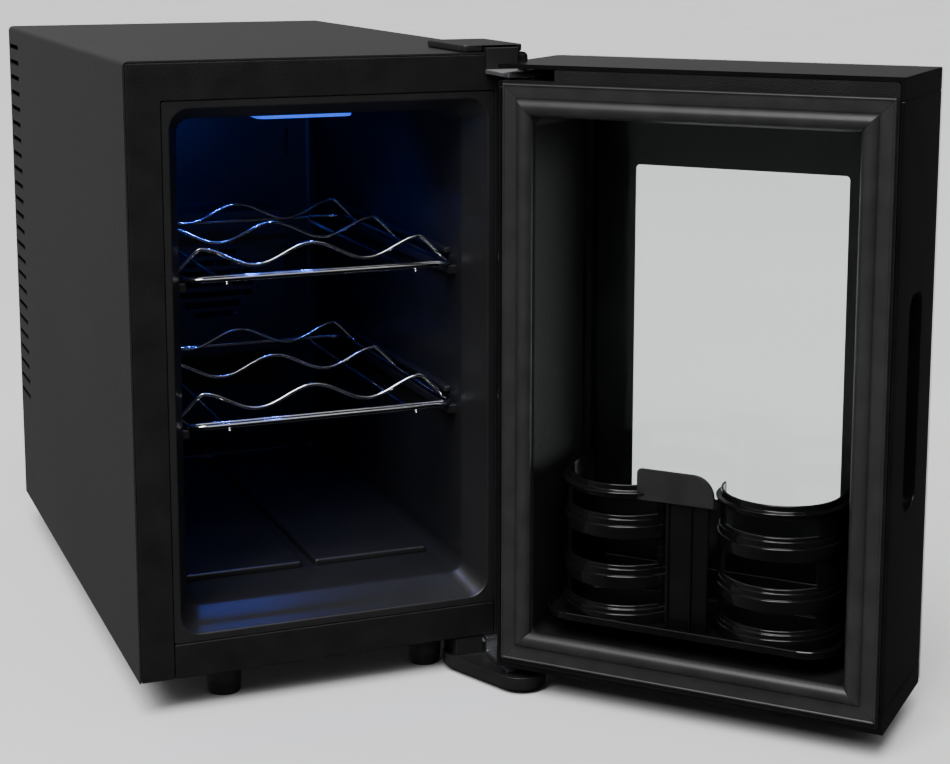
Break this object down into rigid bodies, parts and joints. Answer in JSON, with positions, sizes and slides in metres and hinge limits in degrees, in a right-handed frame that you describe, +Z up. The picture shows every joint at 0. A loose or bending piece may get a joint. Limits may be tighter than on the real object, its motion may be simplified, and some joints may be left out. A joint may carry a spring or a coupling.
{
  "type": "wine cooler",
  "caption": "Free-standing wine cooler: black cabinet with sliding wire shelves and a deep glazed door, hinged right, that holds a two-well bottle rack.",
  "frame": {"origin": "middle of the flat raised panel under the base pan, between the four feet", "axes": "+Z up, +Y from the front to the back of the cabinet, +X towards the hinge side"},
  "size_m": [0.5166, 0.7501, 0.4623],
  "materials": {
    "painted_sheet": "satin black powder coat",
    "grained_plastic": "finely grained black moulding",
    "liner_plastic": "semi-gloss black vacuum-formed sheet",
    "foam": "rigid polyurethane foam",
    "zinc_steel": "zinc-plated steel",
    "satin_plastic": "satin black moulding",
    "foot_rubber": "matt black rubber",
    "seal_rubber": "grey-black flexible PVC seal",
    "chrome_wire": "bright chrome plate",
    "aluminium": "plain extruded aluminium",
    "spacer_aluminium": "black anodised spacer bar",
    "ceramic": "white alumina",
    "nylon": "natural nylon",
    "lamp_lens": "frosted blue lens",
    "gloss_plastic": "piano-gloss black",
    "window_glass": "clear float glass with a black painted border"
  },
  "bodies": {
    "cabinet": {"outer_shell": "painted_sheet", "base_pan": "zinc_steel", "rear_grille": "painted_sheet", "front_frame": "grained_plastic", "sill_trim": "grained_plastic", "inner_liner": "liner_plastic", "insulation": "foam", "top_hinge_plate": "zinc_steel", "top_hinge_cover": "satin_plastic", "top_hinge_pin": "zinc_steel", "lower_hinge_plate": "zinc_steel", "lower_hinge_cover": "satin_plastic", "lower_hinge_pin": "zinc_steel", "foot_front_left": "foot_rubber", "foot_front_right": "foot_rubber", "foot_rear_left": "foot_rubber", "foot_rear_right": "foot_rubber", "interior_fan_cover": "liner_plastic", "cold_sink": "aluminium", "cold_spreader": "aluminium", "cooling_module": "ceramic", "hot_sink": "aluminium", "exhaust_fan_frame": "satin_plastic", "power_supply": "zinc_steel", "power_inlet": "satin_plastic", "temperature_probe": "nylon", "light_module": "lamp_lens"},
    "exhaust_fan": {"exhaust_fan_rotor": "satin_plastic"},
    "interior_fan": {"interior_fan_rotor": "satin_plastic"},
    "lower_shelf": {"shelf_lower_frame": "chrome_wire", "shelf_lower_front_rail": "chrome_wire", "shelf_lower_cradle_front": "chrome_wire", "shelf_lower_cradle_middle": "chrome_wire", "shelf_lower_cradle_rear": "chrome_wire", "shelf_lower_runner_left": "chrome_wire", "shelf_lower_runner_right": "chrome_wire"},
    "upper_shelf": {"shelf_upper_frame": "chrome_wire", "shelf_upper_front_rail": "chrome_wire", "shelf_upper_cradle_front": "chrome_wire", "shelf_upper_cradle_middle": "chrome_wire", "shelf_upper_cradle_rear": "chrome_wire", "shelf_upper_runner_left": "chrome_wire", "shelf_upper_runner_right": "chrome_wire"},
    "door": {"door_side_latch": "gloss_plastic", "door_side_hinge": "gloss_plastic", "door_cap_top": "gloss_plastic", "door_cap_bottom": "gloss_plastic", "door_liner": "grained_plastic", "door_insulation": "foam", "hinge_bush_top": "nylon", "hinge_bush_bottom": "nylon", "control_panel": "satin_plastic", "gasket_top": "seal_rubber", "gasket_bottom": "seal_rubber", "gasket_latch": "seal_rubber", "gasket_hinge": "seal_rubber", "outer_glass": "window_glass", "inner_glass": "window_glass", "glass_spacer": "spacer_aluminium"},
    "rack": {"door_rack": "gloss_plastic"}
  },
  "joints": [
    {"name": "door_hinge", "type": "hinge", "parent": "cabinet", "child": "door", "pos_m": [0.13, -0.282, 0.2], "axis": [0, 0, 1], "range_deg": [-132.3, 4]},
    {"name": "rack_lift", "type": "slide", "parent": "door", "child": "rack", "axis": [0, 0, 1], "range_m": [0, 0.03]},
    {"name": "lower_shelf_slide", "type": "slide", "parent": "cabinet", "child": "lower_shelf", "axis": [0, -1, 0], "range_m": [0, 0.18]},
    {"name": "upper_shelf_slide", "type": "slide", "parent": "cabinet", "child": "upper_shelf", "axis": [0, -1, 0], "range_m": [0, 0.18]},
    {"name": "interior_fan_spin", "type": "hinge", "parent": "cabinet", "child": "interior_fan", "pos_m": [0, 0.109, 0.215], "axis": [0, 1, 0], "continuous": true},
    {"name": "exhaust_fan_spin", "type": "hinge", "parent": "cabinet", "child": "exhaust_fan", "pos_m": [0, 0.224, 0.215], "axis": [0, 1, 0], "continuous": true}
  ]
}
